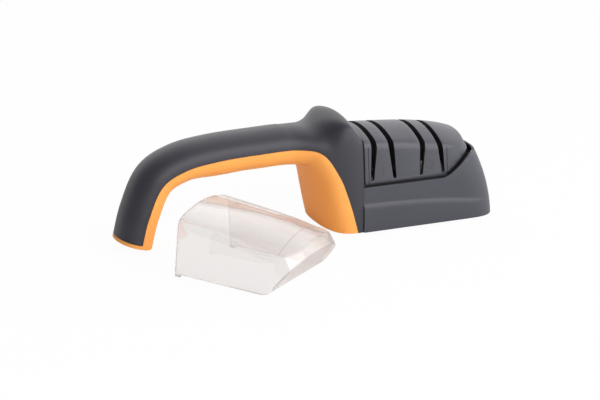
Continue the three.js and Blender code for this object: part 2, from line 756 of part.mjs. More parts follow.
function addPiece(name, form, look, parent = sharpener) {
  const geometry = form.isBufferGeometry ? form : toGeometry(form);
  const mesh = new THREE.Mesh(geometry, new THREE.MeshStandardMaterial(looks[look]));
  mesh.name = name;
  parent.add(mesh);
}

addPiece('handle_shell', handleShell(), 'softGrey');
addPiece('handle_core', handleCore(), 'orange');
addPiece('head_housing', headHousing(), 'housingGrey');
addPiece('slot_module', slotModule(), 'slotGrey');
addPiece('base_plate', basePlate(), 'black');
addPiece('base_pad', upright(padOutline(0), 0, floorGap + padSink - pressGap), 'rubber');
addPiece('wheel_cradle', wheelCradle(), 'black');

screwPlaces.forEach(([x, y], i) => {
  addPiece(`base_screw_${i + 1}`, screw(x, y), 'steel');
});

[[-1, 'front'], [1, 'rear']].forEach(([side, place]) => {
  addPiece(`${place}_axle`, axle(side), 'steel');
  ['coarse', 'fine'].forEach((grade, stage) => {
    addPiece(`${place}_${grade}_sleeve`, sleeve(stage, side), 'steel');
    [0, 1].forEach((slot) => {
      const look = grade === 'coarse' ? 'diamond' : 'ceramic';
      addPiece(`${place}_${grade}_wheel_${slot + 1}`, wheel(2 * stage + slot, side), look);
    });
  });
});

// The cover stands beside the head on its clip tabs and on the front end of its straight edge
const coverPlace = new THREE.Group();
coverPlace.position.set(coverStand[0], coverStand[1], 0);
coverPlace.rotation.z = coverYaw * toRadians;
const coverTilt = new THREE.Group();
const footEnd = grooveLine(coverFoot, 0).turn - chinRun;
const tilt = Math.atan(tabDrop / (footEnd - coverEndGap - tabLength));
coverTilt.rotation.y = tilt;
coverTilt.position.z = footEnd * Math.sin(tilt) - (rimHeight - coverFoot) * Math.cos(tilt);
coverPlace.add(coverTilt);
sharpener.add(coverPlace);
addPiece('clear_cover', clearCover(), 'clear', coverTilt);

export default sharpener;
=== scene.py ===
# Knife sharpener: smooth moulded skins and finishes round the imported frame.
# Sizes are in millimetres from the seam plane between handle and head, as on the part's drawing.
import math

import bmesh
import bpy
from mathutils import Matrix, Vector


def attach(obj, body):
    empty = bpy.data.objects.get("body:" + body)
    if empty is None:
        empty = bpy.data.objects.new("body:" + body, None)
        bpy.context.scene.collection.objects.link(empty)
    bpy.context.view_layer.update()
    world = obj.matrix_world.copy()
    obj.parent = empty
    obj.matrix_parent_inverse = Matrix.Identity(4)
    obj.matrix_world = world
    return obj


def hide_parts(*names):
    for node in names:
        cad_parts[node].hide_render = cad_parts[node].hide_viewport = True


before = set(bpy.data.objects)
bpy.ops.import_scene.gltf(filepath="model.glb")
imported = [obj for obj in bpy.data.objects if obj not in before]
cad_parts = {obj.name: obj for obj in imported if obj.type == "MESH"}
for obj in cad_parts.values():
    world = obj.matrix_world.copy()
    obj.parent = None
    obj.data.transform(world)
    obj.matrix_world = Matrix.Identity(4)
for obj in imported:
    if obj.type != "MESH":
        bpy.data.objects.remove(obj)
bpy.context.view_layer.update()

MM = 0.001
SEAM_TO_ORIGIN = -23.0          # the part's origin is the middle of the base pad

# Head form
HEAD_LENGTH = 81.0
HEAD_HALF = 26.5
HEAD_HEIGHT = 54.0
NOSE_HEIGHT = 44.6
NOSE_LEAN = 21.2                # how far the nose leans back at the head's full height
NOSE_POWER = 2.0
NOSE_RUN = 21.5                 # length of the nose's turn in plan, from the rim up
NOSE_FOOT_RUN = 14.0            # the same at the table, where the housing is squarer
NOSE_FULLNESS = (0.12, 0.6)     # how long the turn keeps to the side and to the nose
CROWN_FALL = ((0.32, 1.3), (0.64, 1.6))     # control points: share of the length, and fall
CROWN_END = 0.84                # share of the length at which the crown is down to the nose's height
CROWN_DROP = 0.085              # how far the crown falls to its edges, as a share of its height
NOSE_CROWN_DROP = 0.18
SIDE_DRAFT = 3.0                # how far a side leans in from the rim to the head's full height
CORNER_POWER = 22.0             # squareness of the corner between crown and side
FLOOR_GAP = 1.0                 # between the table and the casing, which stands on its pad
BAND_HEIGHT = 16.2
BAND_NOSE_HEIGHT = 9.0
BAND_BEND = 0.55
BAND_PROUD = 0.9
BAND_ROUND = 3.2                # height of the band's rounded upper edge
BAND_FADE = (60.0, 80.0)        # where the band sinks into the nose
HOUSING_BACK = 0.08
HOUSING_BACK_WALL = 2.2
HOUSING_EDGE = 0.35             # width of the rounded edges

# Groove, slot module and cover
RIM_HEIGHT = 25.0
NOSE_RIM_HEIGHT = 36.0
RIM_CLIMB = (45.0, 66.5)        # where the rim leaves its level along the sides and reaches the nose's
RIM_WALL = 1.1
GROOVE_DEPTH = 3.0
FLANGE_THICKNESS = 1.5
FLANGE_CLEARANCE = 0.1
CHIN_AT = (61.8, 33.4)          # a point of the cover's sloping chin
CHIN_SLOPE = 52.0
CHIN_RUN = 4.0                  # half the length of the bend from the foot into the chin
COVER_WALL = 1.1
COVER_GAP = 0.25
COVER_CROWN_GAP = 0.25
COVER_SEAT_GAP = 0.3
MODULE_GAP = 0.3
MODULE_NOSE_GAP = 0.3
MODULE_WALL = 2.0
MODULE_EDGE = 0.22
OPENING_CLEARANCE = 0.2
COVER_END_GAP = 0.7
TAB_LENGTH = 2.8
TAB_DROP = 1.2
TAB_OVERLAP = 1.0
LIP_FROM = 56.5                 # where the finger lip starts
LIP_PROUD = 0.7
LIP_SIDE_PROUD = 0.08
END_EDGE_REACH = 10.0           # how far past the middle the open end shows a dull edge
COVER_YAW = -53.0               # how the cover stands beside the head
COVER_STAND = (-91.0, -31.5)
STAGE_CENTRES = (12.6, 40.7)
SLOT_OFFSET = 4.95              # of a slot from the middle of its stage
SLOT_SPREAD = 1.5               # how much further out its foot is
SLOT_TOP_WIDTH = 3.2
SLOT_FOOT_WIDTH = 1.8
SLOT_FOOT = 27.5
SLOT_BEND = 44.0
GUIDE_WALL = 1.6
GUIDE_FOOT = 34.0

# Handle
FOOT_REACH = 116.4
FOOT_LIFT = 3.2
ARCH_HEIGHT = 45.6
GRIP_HALF = 14.0
GRIP_RISE = 10.0
FOOT_RISE = 10.4
GRIP_DEPTH = 10.4
FOOT_DEPTH = 8.6
FOOT_EASE = (-95.0, -50.0)
FINGER_SWELL = 1.0
FINGER_SWELL_AT = -74.0
FINGER_SWELL_HALF = 18.0
PILLAR_DEPTH = 13.0
PILLAR_EASE = (-17.0, -4.0)
FLARE_START = -36.0
FLARE_END = -2.0                # where the flare is as wide as the head
BUMP_AT = -6.4                  # the thumb stop
BUMP_RISE = 6.9
BUMP_BACK = 18.0
BUMP_FRONT = 9.0
GRIP_POWER = 2.2
PILLAR_POWER = 2.6
END_CAP = 1.9
CAP_GAP = 0.15
SEAM_GAP = 0.25
PLATE_INSET = 1.5
PLATE_GAP = 0.3
PLATE_TOP = 3.0
PLATE_TOP_GAP = 0.1
PILLAR_AT = -3.0

FAR = 200.0                     # larger than the object, for cutting
BEHIND = -5.0                   # back end of a cutter, well behind the seam plane
FURTHER_BEHIND = -6.0           # back end of what is taken out of such a cutter
SLIVER = 0.02                   # a hair's breadth, to clear a face or to find it
CURVE_STEPS = 24
SIDE_STEPS = 20                 # stations along a side that the band shapes
BAND_LEVELS = 50                # rings below the rim on walls that the band shapes
PLAIN_LEVELS = 5                # the same on plain walls

# Modelling helpers


def placed(point):
    x, y, z = point
    return Vector(((x + SEAM_TO_ORIGIN) * MM, y * MM, z * MM))


def make_active(piece):
    bpy.ops.object.select_all(action="DESELECT")
    bpy.context.view_layer.objects.active = piece
    piece.select_set(True)


def put_ring(piece, order, points):
    """Moves the selected ring of vertices to its points; order gives each vertex's place in the ring."""
    mesh = bmesh.from_edit_mesh(piece.data)
    new_order = {}
    for vertex in [v for v in mesh.verts if v.select]:
        place = order[tuple(vertex.co)]
        vertex.co = placed(points[place])
        new_order[tuple(vertex.co)] = place
    bmesh.update_edit_mesh(piece.data)
    return new_order


def ring_by_ring(name, rings):
    """A closed skin: a ring of vertices is extruded from station to station and filled at both ends."""
    bpy.ops.object.select_all(action="DESELECT")
    bpy.ops.mesh.primitive_circle_add(vertices=len(rings[0]), radius=1.0, enter_editmode=True)
    piece = bpy.context.object
    piece.name = name
    bpy.ops.mesh.select_mode(type="EDGE")
    bpy.ops.mesh.select_all(action="SELECT")
    mesh = bmesh.from_edit_mesh(piece.data)
    order = {tuple(v.co): i for i, v in enumerate(mesh.verts)}
    order = put_ring(piece, order, rings[0])
    bpy.ops.mesh.edge_face_add()
    mesh = bmesh.from_edit_mesh(piece.data)
    for face in mesh.faces:
        face.select_set(False)
    for edge in mesh.edges:
        edge.select_set(True)
    for points in rings[1:]:
        bpy.ops.mesh.extrude_edges_move()
        order = put_ring(piece, order, points)
    bpy.ops.mesh.edge_face_add()
    bpy.ops.mesh.select_all(action="SELECT")
    bpy.ops.mesh.normals_make_consistent(inside=False)
    bpy.ops.object.mode_set(mode="OBJECT")
    return piece


def combine(piece, other, operation="DIFFERENCE"):
    """Adds, cuts away or keeps in common, and uses the other piece up."""
    modifier = piece.modifiers.new("combine", "BOOLEAN")
    modifier.operation = operation
    modifier.solver = "EXACT"
    modifier.object = other
    make_active(piece)
    bpy.ops.object.modifier_apply(modifier=modifier.name)
    bpy.data.objects.remove(other)
    return piece


def across_width(name, outline, half=FAR):
    """A side view outline (x, z) carried across the width."""
    return ring_by_ring(name, [[(x, y, z) for x, z in outline] for y in (-half, half)])


def upright(name, outline, low, high):
    """A plan outline (x, y) carried from one height to another."""
    return ring_by_ring(name, [[(x, y, z) for x, y in outline] for z in (low, high)])


def block(name, x_span, y_span, z_span):
    x0, x1 = x_span
    y0, y1 = y_span
    return upright(name, [(x0, y0), (x1, y0), (x1, y1), (x0, y1)], *z_span)


def keep_above_table(piece):
    make_active(piece)
    bpy.ops.object.mode_set(mode="EDIT")
    bpy.ops.mesh.select_all(action="SELECT")
    bpy.ops.mesh.bisect(plane_co=(0, 0, FLOOR_GAP * MM), plane_no=(0, 0, -1), use_fill=True, clear_outer=True)
    bpy.ops.object.mode_set(mode="OBJECT")


def round_edges(piece, width, segments=2, angle=40.0):
    modifier = piece.modifiers.new("edges", "BEVEL")
    modifier.width = width * MM
    modifier.segments = segments
    modifier.limit_method = "ANGLE"
    modifier.angle_limit = math.radians(angle)
    modifier.use_clamp_overlap = True
    modifier.harden_normals = False
    make_active(piece)
    bpy.ops.object.modifier_apply(modifier=modifier.name)


def smooth(piece, angle=32.0):
    make_active(piece)
    bpy.ops.object.shade_smooth_by_angle(angle=math.radians(angle))


def lerp(a, b, share):
    return a + (b - a) * share


def runs(start, end, count):
    return [lerp(start, end, i / count) for i in range(count + 1)]


def clamp(value, low=0.0, high=1.0):
    return max(low, min(high, value))


def ease(x, start, end):
    share = clamp((x - start) / (end - start))
    return share * share * (3 - 2 * share)


def bezier(points, steps):
    """Points along a quadratic or cubic curve, both ends included."""
    run = []
    for i in range(steps + 1):
        t = i / steps
        level = [Vector(p) for p in points]
        while len(level) > 1:
            level = [a.lerp(b, t) for a, b in zip(level, level[1:])]
        run.append(tuple(level[0]))
    return run


# Cross-sections: a superellipse whose crown falls away to its edges

ARC_STEPS = 15
CROWN_STEPS = (0.15, 0.3, 0.45, 0.6, 0.75)


def arch(half, base, rise, crown, power):
    """Points (y, height) from one foot of the arch over its crown to the other."""
    turns = [math.sin(math.pi / 2 * i / ARC_STEPS) ** (2 / power) for i in range(1, ARC_STEPS)]
    shares = sorted(turns + list(CROWN_STEPS))

    def height(u):
        return max(base, rise * (1 - crown * u * u) * (1 - u ** power) ** (1 / power))

    side = [(half * u, height(u)) for u in shares] + [(half, base)]
    far_side = [(-y, h) for y, h in reversed(side)]
    return far_side + [(0.0, rise)] + side


# Head form, which the housing, the slot module and the cover share

WALL_FOOT = -4.0                # the walls start below the table
WALL_TOP = HEAD_HEIGHT + 5      # and end above the crown
UPPER_LEVELS = runs(RIM_HEIGHT + 3, HEAD_HEIGHT, 9) + [WALL_TOP]
CROWN_RUN_ON = 30.0             # the crown line runs on straight past the nose


def nose_reach(z):
    return HEAD_LENGTH - NOSE_LEAN * (z / HEAD_HEIGHT) ** NOSE_POWER


def head_plan(half, nose, back, run=NOSE_RUN, side_steps=1):
    """Plan of the head (x, y): straight sides that turn into a round nose."""
    leave, meet = NOSE_FULLNESS
    turn = bezier([(nose - run, -half), (nose - run * leave, -half),
                   (nose, -half * meet), (nose, 0.0)], CURVE_STEPS)
    near = [(lerp(back, nose - run, i / side_steps), -half) for i in range(side_steps)] + turn
    return near + [(x, -y) for x, y in reversed(near[:-1])]


def draft_at(z):
    return 1 - SIDE_DRAFT * clamp((z - RIM_HEIGHT) / (HEAD_HEIGHT - RIM_HEIGHT)) / HEAD_HALF


def head_walls(name, inset, back, nose_inset=None, proud=None):
    """The upright sides and nose; proud says how far a point of them stands out."""
    nose_inset = inset if nose_inset is None else nose_inset
    lower_levels = runs(0, RIM_HEIGHT, PLAIN_LEVELS if proud is None else BAND_LEVELS)
    rings = []
    for z in [WALL_FOOT] + lower_levels + UPPER_LEVELS:
        half = HEAD_HALF * draft_at(z) - inset
        nose = nose_reach(max(z, 0)) - nose_inset
        if proud is None:
            rings.append([(x, y, z) for x, y in head_plan(half, nose, back)])
            continue
        run = lerp(NOSE_FOOT_RUN, NOSE_RUN, clamp(z / RIM_HEIGHT))
        plan = head_plan(half, nose, back, run, SIDE_STEPS)
        rings.append([(x, y * (1 + proud(x, z) / half), z) for x, y in plan])
    return ring_by_ring(name, rings)


def head_form(name, inset, crown_inset, back, nose_inset=None, proud=None):
    """The head's walls under its crown, at insets from the outside of the head."""
    controls = [(0, HEAD_HEIGHT)]
    controls += [(HEAD_LENGTH * along, HEAD_HEIGHT - fall) for along, fall in CROWN_FALL]
    controls.append((HEAD_LENGTH * CROWN_END, NOSE_HEIGHT))
    crown_line = bezier(controls, CURVE_STEPS)
    stations = [(back - 1, HEAD_HEIGHT)] + [p for p in crown_line if p[0] > back - 0.5]
    end = Vector(crown_line[-1])
    stations.append(tuple(end + (end - Vector(controls[2])).normalized() * CROWN_RUN_ON))
    rings = []
    for x, crown in stations:
        drop = lerp(CROWN_DROP, NOSE_CROWN_DROP, max(0, x) / HEAD_LENGTH)
        half = HEAD_HALF - inset + (BAND_PROUD if proud else 0) + SLIVER
        section = arch(half, RIM_HEIGHT, crown - crown_inset, drop, CORNER_POWER)
        closed = [(-half, -FAR)] + section + [(half, -FAR)]
        rings.append([(x, y * draft_at(h), h) for y, h in closed])
    walls = head_walls(name, inset, back, nose_inset, proud)
    return combine(walls, ring_by_ring("crown", rings), "INTERSECT")


def rim_line():
    """Side view of the housing's rim: level along the sides, then up to the nose."""
    climb = []
    for i in range(CURVE_STEPS + 1):
        x = lerp(*RIM_CLIMB, i / CURVE_STEPS)
        climb.append((x, lerp(RIM_HEIGHT, NOSE_RIM_HEIGHT, ease(x, *RIM_CLIMB))))
    return [(-FAR, RIM_HEIGHT)] + climb + [(FAR, NOSE_RIM_HEIGHT)]


def below_rim(lift=0.0):
    line = [(x, z + lift) for x, z in rim_line()]
    return across_width("below_rim", [(-FAR, -FAR)] + line + [(line[-1][0], -FAR)])


def rim_height(x):
    line = rim_line()
    for (x0, z0), (x1, z1) in zip(line, line[1:]):
        if x0 <= x <= x1:
            return lerp(z0, z1, (x - x0) / (x1 - x0))
    return line[-1][1]


def groove_turn(drop, lift):
    """Slope of the cover's chin, level of its foot, and where along the head the two lines meet."""
    slope = math.radians(CHIN_SLOPE)
    level = RIM_HEIGHT - drop
    turn = CHIN_AT[0] - (CHIN_AT[1] + lift / math.cos(slope) - level) / math.tan(slope)
    return slope, level, turn


def below_groove(drop, lift):
    """All that is below the cover's foot and chin."""
    slope, level, turn = groove_turn(drop, lift)

    def climb(run):
        return turn + run * math.cos(slope), level + run * math.sin(slope)

    bend = bezier([(turn - CHIN_RUN, level), (turn, level), climb(CHIN_RUN)], CURVE_STEPS // 2)
    outline = [(-FAR, -FAR), (-FAR, level)] + bend + [climb(FAR), (FAR, -FAR)]
    return across_width("below_groove", outline)


def band_stands(x, z):
    """How far the band stands out: full below its rounded upper edge, and nothing at the nose."""
    share = clamp(x / HEAD_LENGTH)
    # height of a quadratic curve that leaves the seam plane level and falls to the nose
    along = share / (BAND_BEND + math.sqrt(BAND_BEND ** 2 + (1 - 2 * BAND_BEND) * share))
    edge = lerp(BAND_HEIGHT, BAND_NOSE_HEIGHT, along ** 2)
    below = clamp((edge - z) / BAND_ROUND)
    return BAND_PROUD * below * (2 - below) * (1 - ease(x, *BAND_FADE))


def plate_pocket():
    """Room for the base plate under the head and the pillar."""
    half = HEAD_HALF - PLATE_INSET + PLATE_GAP
    head = head_plan(half, HEAD_LENGTH - PLATE_INSET + PLATE_GAP, PILLAR_AT)
    depth = PILLAR_DEPTH - 2 * PLATE_INSET + PLATE_GAP
    back = []
    for i in range(1, CURVE_STEPS):
        angle = math.pi / 2 + math.pi * i / CURVE_STEPS
        back.append((PILLAR_AT + depth * math.cos(angle), half * math.sin(angle)))
    return upright("pocket", head + back, WALL_FOOT - 1, PLATE_TOP + PLATE_TOP_GAP)


MODULE_INSET = RIM_WALL + COVER_GAP + COVER_WALL + MODULE_GAP
MODULE_CROWN = COVER_CROWN_GAP + COVER_WALL + MODULE_GAP
FLANGE_FOOT = GROOVE_DEPTH + FLANGE_THICKNESS


def make_housing():
    body = head_form("housing_skin", 0, 0, HOUSING_BACK, proud=band_stands)
    combine(body, below_rim(), "INTERSECT")
    keep_above_table(body)
    groove = head_walls("groove", RIM_WALL, BEHIND)
    combine(groove, below_rim(-FLANGE_FOOT - FLANGE_CLEARANCE))
    combine(body, groove)
    opening = MODULE_INSET + MODULE_WALL + OPENING_CLEARANCE
    combine(body, head_walls("opening", opening, HOUSING_BACK + HOUSING_BACK_WALL))
    combine(body, plate_pocket())
    return body


SLOTS = [(centre + side * SLOT_OFFSET, centre + side * (SLOT_OFFSET + SLOT_SPREAD))
         for centre in STAGE_CENTRES for side in (-1, 1)]


def slot_at(slot, z):
    """Middle and width of a slot at a height."""
    top, foot = slot
    share = clamp((z - SLOT_FOOT) / (SLOT_BEND - SLOT_FOOT))
    return lerp(foot, top, share), lerp(SLOT_FOOT_WIDTH, SLOT_TOP_WIDTH, share)


def slot_body(slot, low, margin):
    def corner(z, side):
        middle, width = slot_at(slot, z)
        return middle + side * (width / 2 + margin), z

    levels = [low, SLOT_BEND, FAR]
    outline = [corner(z, -1) for z in levels] + [corner(z, 1) for z in reversed(levels)]
    return across_width("slot", outline)


# The two gaps below are cut into the insert, and their faces are painted dark as shade.
SHADOW_GAP = 0.9                # dark gap between the rim and the foot of the insert
SHADOW_DEPTH = 1.5
BACK_GAP = 1.4                  # dark gap between the flare and the insert
BACK_GAP_DEPTH = 1.0
PANEL_LINES = (4.2, 49.6)       # fine upright lines on the insert's sides
PANEL_LINE_WIDTH = 0.36
PANEL_LINE_DEPTH = 0.35
PANEL_LINE_SPAN = (RIM_HEIGHT - 5, SLOT_BEND + 1)


def make_module():
    back = COVER_END_GAP
    nose = MODULE_INSET + MODULE_NOSE_GAP
    body = head_form("module_skin", MODULE_INSET, MODULE_CROWN, back, nose)
    combine(body, below_rim(-FLANGE_FOOT))
    inside = [inset + MODULE_WALL for inset in (MODULE_INSET, MODULE_CROWN, back, nose)]
    hollow = head_form("hollow", *inside)
    for slot in SLOTS:
        combine(hollow, slot_body(slot, GUIDE_FOOT, GUIDE_WALL))
    combine(body, hollow)
    gap = combine(head_walls("gap", 0, BEHIND), below_rim(SHADOW_GAP), "INTERSECT")
    shadow = MODULE_INSET + SHADOW_DEPTH
    combine(gap, head_walls("gap_core", shadow, FURTHER_BEHIND, nose + SHADOW_DEPTH))
    combine(body, gap)
    ring = block("ring", (back - 1, back + BACK_GAP), (-FAR, FAR), (0, FAR))
    ring_insets = [inset + BACK_GAP_DEPTH for inset in (MODULE_INSET, MODULE_CROWN)]
    combine(ring, head_form("ring_core", *ring_insets, FURTHER_BEHIND))
    combine(body, ring)
    for x in PANEL_LINES:
        half = PANEL_LINE_WIDTH / 2
        line = block("line", (x - half, x + half), (-FAR, FAR), PANEL_LINE_SPAN)
        combine(line, head_walls("line_core", MODULE_INSET + PANEL_LINE_DEPTH, FURTHER_BEHIND))
        combine(body, line)
    for slot in SLOTS:
        combine(body, slot_body(slot, SLOT_FOOT, 0))
    return body


RIM_ALLOWANCE = 0.05            # the rim's inner face still counts as inside


def in_groove(centre):
    """Whether a face of the housing lies inside its rim, where the groove gets painted shade."""
    x, y, z = centre
    half = HEAD_HALF * draft_at(z) - RIM_WALL + RIM_ALLOWANCE
    nose = nose_reach(max(z, 0)) - RIM_WALL + RIM_ALLOWANCE
    near = head_plan(half, nose, HOUSING_BACK)[1:CURVE_STEPS + 2]
    if z < PLATE_TOP + 1 or abs(y) > half or x > nose:
        return False
    for (x0, y0), (x1, y1) in zip(near, near[1:]):
        if x0 <= x <= x1:
            return abs(y) < -lerp(y0, y1, (x - x0) / (x1 - x0))
    return True


def in_module_shade(centre):
    """Whether a face of the insert lies in a slot or in the gaps at its back and foot, which get painted
    shade.
    """
    x, _, z = centre
    in_slot = False
    for slot in SLOTS:
        middle, width = slot_at(slot, z)
        in_slot = in_slot or abs(x - middle) < width / 2 + SLIVER
    at_back = x < COVER_END_GAP + BACK_GAP + SLIVER
    at_foot = z < rim_height(x) + SHADOW_GAP + SLIVER
    return in_slot or at_back or at_foot


def darken(piece, finish, in_shade):
    """Gives the faces in the shade a second finish."""
    piece.data.materials.append(finish.material)
    for face in piece.data.polygons:
        x, y, z = face.center / MM
        if in_shade((x - SEAM_TO_ORIGIN, y, z)):
            face.material_index = 1


MARK_HEIGHT = 4.8
MARK_FOOT = 29.8                # height of the stage marks' lower end
MARK_PROUD = 0.05
MARK_BLANK = 0.1                # thickness of the number before it is scaled, in Blender's units


def make_mark(sign, x):
    """A plain stage number on the near side of the insert, which leans in with the head's draft."""
    bpy.ops.object.select_all(action="DESELECT")
    bpy.ops.object.text_add()
    mark = bpy.context.object
    mark.name = "stage_mark_" + sign
    mark.data.body = sign
    mark.data.extrude = MARK_BLANK
    bpy.ops.object.convert(target="MESH")
    corners = [v.co.copy() for v in mark.data.vertices]
    left, right = min(c.x for c in corners), max(c.x for c in corners)
    low, high = min(c.y for c in corners), max(c.y for c in corners)
    size = MARK_HEIGHT * MM / (high - low)
    wall = HEAD_HALF * draft_at(MARK_FOOT) - MODULE_INSET
    lean = math.atan(SIDE_DRAFT / (HEAD_HEIGHT - RIM_HEIGHT))
    middled = Matrix.Translation((-(left + right) / 2, -low, 0))
    scaled = Matrix.Diagonal((size, size, MARK_PROUD * MM / MARK_BLANK, 1))
    upright_turn = Matrix.Rotation(math.pi / 2 - lean, 4, "X")
    set_on_wall = Matrix.Translation(placed((x, -wall, MARK_FOOT)))
    mark.data.transform(set_on_wall @ upright_turn @ scaled @ middled)
    return mark


# Handle: one seam line, the grey shell above it and the orange core below

SEAM_POINTS = [
    (-FOOT_REACH, FOOT_LIFT),
    (-FOOT_REACH + 4.3, FOOT_LIFT + 15.4),
    (-FOOT_REACH + 12.5, ARCH_HEIGHT - 10.6),
    (-FOOT_REACH + 24.5, ARCH_HEIGHT - 4.2),
    (-FOOT_REACH + 41, ARCH_HEIGHT - 1.3),
    (-50, ARCH_HEIGHT),
    (-31, ARCH_HEIGHT),
    (-20.5, ARCH_HEIGHT - 2),
    (-12.6, ARCH_HEIGHT * 0.7),
    (-8.2, ARCH_HEIGHT * 0.44),
    (-3.8, ARCH_HEIGHT * 0.09),
    (0, -12),
]
SEAM_STEPS = 80                 # dense points between two of them
KNEE_RISE = 0.05                # the flare's sides are upright at least this far up


def smooth_line(knots, steps):
    """Centripetal curve through the knots, as dense points."""
    knots = [Vector(k) for k in knots]
    knots = [2 * knots[0] - knots[1]] + knots + [2 * knots[-1] - knots[-2]]
    line = []
    for a, b, c, d in zip(knots, knots[1:], knots[2:], knots[3:]):
        gap = [math.sqrt((q - p).length) for p, q in ((a, b), (b, c), (c, d))]
        start = ((b - a) / gap[0] - (c - a) / (gap[0] + gap[1]) + (c - b) / gap[1]) * gap[1]
        end = ((c - b) / gap[1] - (d - b) / (gap[1] + gap[2]) + (d - c) / gap[2]) * gap[1]
        for i in range(steps):
            t = i / steps
            line.append(b + start * t + (3 * (c - b) - 2 * start - end) * t ** 2
                        + (2 * (b - c) + start + end) * t ** 3)
    return line + [knots[-2]]


SEAM = smooth_line(SEAM_POINTS, SEAM_STEPS)
SEAM_RUN = [0.0]
for before, after in zip(SEAM, SEAM[1:]):
    SEAM_RUN.append(SEAM_RUN[-1] + (after - before).length)


def seam_at(run):
    """Point and direction of the seam line after a length of run."""
    i = next(k for k in range(1, len(SEAM)) if SEAM_RUN[k] >= run - 1e-6)
    share = (run - SEAM_RUN[i - 1]) / (SEAM_RUN[i] - SEAM_RUN[i - 1])
    ahead = SEAM[min(i + 1, len(SEAM) - 1)] - SEAM[max(i - 2, 0)]
    return SEAM[i - 1].lerp(SEAM[i], share), ahead.normalized()


def handle_half(x):
    return lerp(GRIP_HALF, HEAD_HALF, ease(x, FLARE_START, FLARE_END))


def top_line(x):
    """Height of the flare's top, with the thumb stop."""
    reach = min(1, abs(x - BUMP_AT) / (BUMP_BACK if x < BUMP_AT else BUMP_FRONT))
    level = lerp(ARCH_HEIGHT + GRIP_RISE, HEAD_HEIGHT, ease(x, FLARE_START, 0))
    return level + BUMP_RISE * math.cos(reach * math.pi / 2) ** 2


def shell_ring(run):
    """Section of the grey shell: square to the seam on the grip, upright in the flare."""
    p, along = seam_at(run)
    flare = ease(p.x, FLARE_START, 0)
    in_flare = p.x > FLARE_START
    out = Vector((0, 1)) if in_flare else Vector((-along.y, along.x))
    foot = max(p.y, 0) if in_flare else 0
    rise = top_line(p.x) - foot if in_flare else lerp(FOOT_RISE, GRIP_RISE, ease(p.x, *FOOT_EASE))
    lift = foot - p.y if in_flare else 0
    half = handle_half(p.x)
    power = lerp(GRIP_POWER, CORNER_POWER, flare ** 6)
    base = SEAM_GAP - lift
    section = arch(half, base, rise, CROWN_DROP * flare, power)
    knee = max(base + KNEE_RISE, RIM_HEIGHT - foot if in_flare else 0)
    section = section[:1] + [(-half, knee)] + section[1:-1] + [(half, knee)] + section[-1:]
    ring = []
    for y, h in section:
        spot = p + out * (h + lift)
        lean = lerp(1, draft_at(p.y + h + lift), flare ** 2)
        ring.append((spot.x, y * lean, spot.y))
    return ring


def core_ring(run):
    """Section of the orange core, inward from the seam."""
    p, along = seam_at(run)
    inward = Vector((along.y, -along.x))
    pillar = ease(p.x, *PILLAR_EASE)
    grip = lerp(FOOT_DEPTH, GRIP_DEPTH, ease(p.x, *FOOT_EASE))
    swell = min(1, abs(p.x - FINGER_SWELL_AT) / FINGER_SWELL_HALF)
    depth = lerp(grip, PILLAR_DEPTH, pillar) + FINGER_SWELL * math.cos(swell * math.pi / 2) ** 2
    power = lerp(GRIP_POWER, PILLAR_POWER, pillar)
    ring = []
    for y, h in arch(handle_half(p.x), 0, depth, 0, power):
        spot = p + inward * h
        ring.append((spot.x, y, spot.y))
    return ring


HANDLE_RINGS = 110


def make_shell():
    stations = runs(END_CAP + CAP_GAP, SEAM_RUN[-1], HANDLE_RINGS)
    shell = ring_by_ring("shell_skin", [shell_ring(run) for run in stations])
    keep_above_table(shell)
    return combine(shell, plate_pocket())


def make_core():
    stations = runs(0, SEAM_RUN[-1], HANDLE_RINGS)
    core = ring_by_ring("core_skin", [core_ring(run) for run in stations])
    keep_above_table(core)
    return combine(core, plate_pocket())


def make_end_cap():
    rings = []
    for run in (0, END_CAP):
        upper = shell_ring(run)
        lower = core_ring(run)[1:-1]
        rings.append(upper + lower[::-1])
    return ring_by_ring("end_cap", rings)


# Clear cover, made on the head and then set down beside it

COVER_FOOT = GROOVE_DEPTH - COVER_SEAT_GAP


def cover_place():
    """From the cover's place on the head to where it stands, tipped onto its tabs and its foot."""
    _, level, turn = groove_turn(COVER_FOOT, 0)
    foot_end = turn - CHIN_RUN
    tilt = math.atan(TAB_DROP / (foot_end - COVER_END_GAP - TAB_LENGTH))
    lift = foot_end * math.sin(tilt) - level * math.cos(tilt)
    tipped = Matrix.Translation((0, 0, lift * MM)) @ Matrix.Rotation(tilt, 4, "Y")
    stood = Matrix.Translation((COVER_STAND[0] * MM, COVER_STAND[1] * MM, 0))
    return stood @ Matrix.Rotation(math.radians(COVER_YAW), 4, "Z") @ tipped


def make_cover():
    inset = RIM_WALL + COVER_GAP
    _, level, turn = groove_turn(COVER_FOOT, 0)
    body = head_form("cover_skin", inset, COVER_CROWN_GAP, COVER_END_GAP)
    lip = head_form("lip", inset - LIP_SIDE_PROUD, COVER_CROWN_GAP - LIP_PROUD, COVER_END_GAP)
    combine(lip, block("lip_zone", (LIP_FROM, FAR), (-FAR, FAR), (0, FAR)), "INTERSECT")
    combine(body, lip, "UNION")
    combine(body, head_form("hollow", inset + COVER_WALL, COVER_CROWN_GAP + COVER_WALL, BEHIND))
    combine(body, below_groove(COVER_FOOT, 0))
    chin = head_form("chin", inset, COVER_CROWN_GAP, COVER_END_GAP)
    combine(chin, block("chin_zone", (turn + CHIN_RUN / 2, FAR), (-FAR, FAR), (0, FAR)), "INTERSECT")
    combine(chin, below_groove(COVER_FOOT, COVER_WALL), "INTERSECT")
    combine(chin, below_groove(COVER_FOOT, 0))
    combine(body, chin, "UNION")
    for side in (-1, 1):
        outer = HEAD_HALF - inset
        span = sorted((side * outer, side * (outer - COVER_WALL)))
        tab = block("tab", (COVER_END_GAP, COVER_END_GAP + TAB_LENGTH), span,
                    (level - TAB_DROP, level + TAB_OVERLAP))
        combine(body, tab, "UNION")
    to_seam = Matrix.Translation((-SEAM_TO_ORIGIN * MM, 0, 0))
    body.data.transform(to_seam.inverted() @ cover_place() @ to_seam)
    return body


